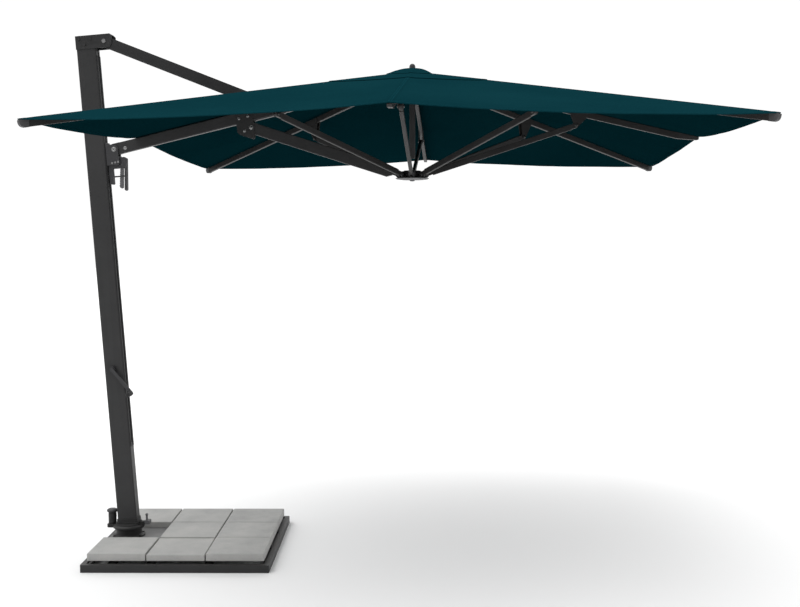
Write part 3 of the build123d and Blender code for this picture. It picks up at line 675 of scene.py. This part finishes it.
def vent_height(r, ang):
    """Height of the small tier at radius r from the crown's axis, by halving."""
    a = int(math.degrees(ang) % 360 // 45) * 45
    one, two = LINES[a], LINES[(a + 45) % 360]
    way = Vector((math.cos(ang), math.sin(ang), 0))
    low, high = -0.1, 0.3
    for _ in range(24):
        t = (low + high) / 2
        p, q = one[0].lerp(one[1], t) - crown, two[0].lerp(two[1], t) - crown
        w = p.cross(way).z / (p - q).cross(way).z
        if (p.lerp(q, w)).dot(way) < r:
            low = t
        else:
            high = t
    return cloth_point(a, t, w, raise_by=VENT_PROUD).z


CAP_RADII = (0.0268, 0.034, 0.042, 0.05, 0.058, 0.066, 0.075, 0.085, 0.096, 0.108, 0.120, 0.130, 0.138)
CAP_TOP = 0.0475
CAP_FLAT = 0.046
CAP_SLOPE = 0.084


def crown_cap(name):
    """Round sewn cap over the crown: a small raised top that runs out onto the cloth."""
    rows, uvs = [], []
    for r in CAP_RADII:
        f = min(1.0, max(0.0, (r - CAP_FLAT) / CAP_SLOPE))
        f = f * f * (3 - 2 * f)
        row, uv = [], []
        for k in range(73):
            ang = 2 * math.pi * k / 72
            z = (crown.z + CAP_TOP) * (1 - f) + (vent_height(max(r, 0.06), ang) + 0.0030) * f
            row.append(Vector((crown.x + math.cos(ang) * r, crown.y + math.sin(ang) * r, z)))
            uv.append((ang * CAP_RADII[-1], r - 0.1))
        rows.append(row)
        uvs.append(uv)
    return grid_mesh(name, rows, uvs, TEAL, TEAL_UNDER_PAINTED_SHADE, thick=0.0016)


cap = crown_cap("crown_cap")
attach(cap, "crown")
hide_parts("canopy_top")


# ---------------------------------------------------------------- screws, track, small fittings
def add_head(bm, centre, axis, radius, height):
    """Domed screw head with a hexagon socket, on a thin washer. The profile is in head sizes."""
    turn = axis.to_track_quat("Z", "Y").to_matrix()
    profile = [(1.35, 0.0), (1.35, 0.12), (1.0, 0.14), (1.0, 0.45), (0.93, 0.72), (0.75, 0.92), (0.46, 1.0)]
    rings = []
    for r, h in profile:
        rings.append([bm.verts.new(centre + turn @ Vector((
            radius * r * math.cos(math.pi * k / 12), radius * r * math.sin(math.pi * k / 12), height * h)))
            for k in range(24)])
    for h in (0.97, 0.45):
        ring = []
        for k in range(24):
            ang = math.pi * k / 12
            flat = math.cos(math.pi / 6) / math.cos((ang % (math.pi / 3)) - math.pi / 6)
            ring.append(bm.verts.new(centre + turn @ Vector((
                radius * 0.42 * flat * math.cos(ang), radius * 0.42 * flat * math.sin(ang), height * h))))
        rings.append(ring)
    for one, two in zip(rings, rings[1:]):
        for k in range(24):
            bm.faces.new((one[k], one[(k + 1) % 24], two[(k + 1) % 24], two[k]))
    bm.faces.new(rings[-1])
    bm.faces.new(list(reversed(rings[0])))


def screws(name, body, places, material):
    """One object with a head at each (centre, axis, radius, height), carried by body."""
    bm = bmesh.new()
    for centre, axis, radius, height in places:
        add_head(bm, Vector(centre), Vector(axis), radius, height)
    bmesh.ops.recalc_face_normals(bm, faces=bm.faces)
    me = bpy.data.meshes.new(name)
    bm.to_mesh(me)
    bm.free()
    me.materials.append(material)
    for f in me.polygons:
        f.use_smooth = len(f.vertices) == 4
    me.set_sharp_from_angle(angle=math.radians(35))
    obj = linked(name, me)
    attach(obj, body)


def both_sides(centre, axis, offset, radius, height):
    """Two heads at this offset on either side of a pivot's centre."""
    axis = Vector(axis).normalized()
    return [(Vector(centre) + axis * offset, axis, radius, height),
            (Vector(centre) - axis * offset, -axis, radius, height)]


def on_arm(u, v):
    """Point at u along the arm and v above its centre line."""
    return arm_foot + arm_way * u + arm_up * v


def on_slide(u, v):
    """Point at u in front of the arm's pivot and v up the mast from it."""
    return arm_foot + mast_front * u + mast_up * v


elbow = Vector(joints["heavy_fold"]["pos_m"])
hub_hinge = Vector(joints["hub_level"]["pos_m"])
hub_centre = Vector((crown.x, 0, hub_hinge.z))
elbow_u = (elbow - arm_foot).dot(arm_way)
elbow_v = (elbow - arm_foot).dot(arm_up)
Y_WAY = (0, 1, 0)
LIGHT_SCREW = (0.0062, 0.0034)
RIB_SCREW = (0.0075, 0.0045)
GUSSET_SCREW = (0.0062, 0.0035)
crown_screws, hub_screws = [], []
for a in AZIMUTH.values():
    p = math.radians(a)
    out = Vector((math.cos(p), math.sin(p), 0))
    side = (-math.sin(p), math.cos(p), 0)
    crown_screws += both_sides(crown + out * hinge_r, side, 0.013, *LIGHT_SCREW)
    hub_screws += both_sides(hub_centre + out * hinge_r, side, 0.013, *LIGHT_SCREW)
    if a != 180:
        pin = joints["strut_fold_" + TAG[a]]["pos_m"]
        screws("joint_screws_" + TAG[a], "rib_" + TAG[a],
               both_sides(pin, side, 0.013, *RIB_SCREW), ZINC_DARK)
screws("crown_screws", "crown", crown_screws, ZINC_DARK)
screws("hub_screws", "hub", hub_screws, ZINC_DARK)
screws("arm_screws", "arm", both_sides(elbow, Y_WAY, 0.022, 0.009, 0.004)
       + both_sides(on_arm(0.060, -0.007), Y_WAY, 0.017, 0.0075, 0.004)
       + both_sides(on_arm(elbow_u - 0.054, -0.004), Y_WAY, 0.022, *GUSSET_SCREW)
       + both_sides(on_arm(elbow_u - 0.004, -0.002), Y_WAY, 0.022, *GUSSET_SCREW)
       + both_sides(on_arm(elbow_u - 0.040, elbow_v - 0.010), Y_WAY, 0.022, *GUSSET_SCREW), ZINC)
screws("slider_screws", "slider", both_sides(arm_foot, Y_WAY, 0.026, 0.010, 0.0055)
       + [(on_slide(u, v) + Vector((0, -0.029, 0)), (0, -1, 0), 0.0042, 0.0024)
          for u, v in ((-0.014, -0.074), (0.004, -0.072), (0.020, -0.070))], ZINC)
bar_low, bar_high = (Vector(c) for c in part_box("strut_bar_near"))
bar_foot = (bar_high.x - 0.029, 0.0, bar_low.z + 0.029)
screws("strut_screws", "upper_strut", both_sides(bar_foot, Y_WAY, 0.034, 0.0095, 0.004), ZINC)


MAST_FOOT = 0.160
MAST_FACE = 0.054


def mast_track(name, side):
    """One of the two black strips that line the mast's slot."""
    face = Vector((0, 0, MAST_FOOT)) + mast_front * MAST_FACE
    rings = []
    for v, inset in ((0.400, 0.001), (0.402, 0.0), (2.540, 0.0), (2.542, 0.001)):
        c = face + mast_up * v + Vector((0, side * 0.0175, 0)) + mast_front * 0.0006
        rings.append(rounded_ring(c, Vector((0, 1, 0)), mast_front, 0.0095 - inset, 0.0011, 0.0009, 4))
    return tube_mesh(name, rings, RUBBER)


for label, side in (("near", -1), ("far", 1)):
    track = mast_track("mast_track_" + label, side)
    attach(track, "mast")

# ---------------------------------------------------------------- floor, light, camera
floor_z = cad_low[2]
bpy.ops.mesh.primitive_plane_add(size=90, location=(1.5, 10.0, floor_z))
floor = bpy.context.object
floor.name = "studio_floor"
floor_finish, _, shader = new_material("studio_floor")
shader.inputs["Base Color"].default_value = (0.93, 0.93, 0.93, 1)
shader.inputs["Roughness"].default_value = 0.95
shader.inputs["Specular IOR Level"].default_value = 0.1
floor.data.materials.append(floor_finish)

world = bpy.data.worlds.new("studio")
bpy.context.scene.world = world
world.use_nodes = True
wt = world.node_tree
sky_way = wt.nodes.new("ShaderNodeTexCoord")
sky = wt.nodes.new("ShaderNodeSeparateXYZ")
wt.links.new(sky_way.outputs["Generated"], sky.inputs["Vector"])
behind = mapped(wt, sky.outputs["Y"], 0.42, 1.04, -0.25, 0.45)
overhead = mapped(wt, sky.outputs["Z"], 0.0, 0.75, 0.25, 1.0)
soft_light = math_node(wt, "ADD", behind, overhead)
# Brighter from behind and from above. What the camera sees of it is white on every side.
backdrop = wt.nodes.new("ShaderNodeLightPath").outputs["Is Camera Ray"]
wt.nodes["Background"].inputs["Color"].default_value = (1, 1, 1, 1)
wt.links.new(math_node(wt, "MAXIMUM", soft_light, backdrop), wt.nodes["Background"].inputs["Strength"])

sun_data = bpy.data.lights.new("key", "SUN")
sun_data.energy = 1.15
sun_data.angle = math.radians(50)
sun = linked("key", sun_data)
SUN_WAY = Vector((0.34, 0.36, -0.87))
sun.rotation_euler = SUN_WAY.to_track_quat("-Z", "Y").to_euler()

cam_data = bpy.data.cameras.new("camera")
cam = linked("camera", cam_data)
cam_data.sensor_width = 36.0
cam_data.lens = 47.466
EYE_HEIGHT = 1.706
LOOK_DOWN = math.radians(3.489)
LOOK_LEFT = math.radians(4.130)
cam.location = (crown.x + 0.3434, -5.669, EYE_HEIGHT)
cam.rotation_euler = (math.pi / 2 - LOOK_DOWN, 0.0, LOOK_LEFT)
bpy.context.scene.camera = cam
bpy.context.scene.view_settings.view_transform = "Standard"
